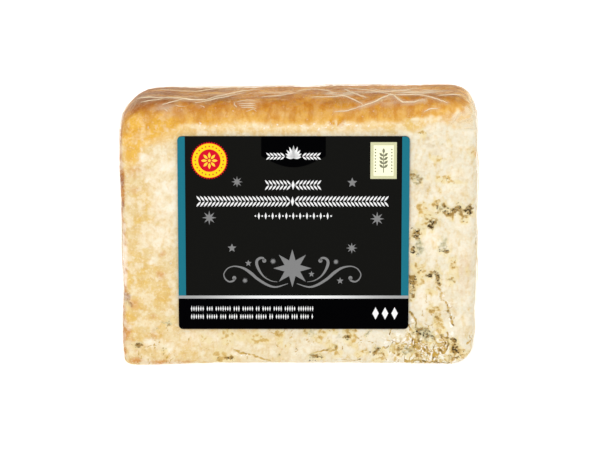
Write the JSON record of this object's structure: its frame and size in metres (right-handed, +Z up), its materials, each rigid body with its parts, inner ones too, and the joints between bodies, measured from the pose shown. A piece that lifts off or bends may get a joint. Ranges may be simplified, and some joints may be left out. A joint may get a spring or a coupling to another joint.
{
  "type": "wedge of stilton",
  "caption": "Wedge of blue-veined cheese sealed tight in clear film, lying on one cut face, with a dark printed label on the sloping one and its rind at the back.",
  "frame": {"origin": "under the middle of the bounding box, on the surface that the wedge lies on", "axes": "+Z up, +X along the drum's axis from its crusted end to the cut end, -Y towards the thin tip"},
  "size_m": [0.1278, 0.1016, 0.0591],
  "materials": {
    "film_sealed_cheese": "cream cheese with blue-grey veins and an amber-brown rind, under clear glossy film",
    "printed_label": "dark satin print with silver ornament"
  },
  "bodies": {
    "root": {"stilton_wedge": "film_sealed_cheese", "label": "printed_label"}
  },
  "joints": []
}
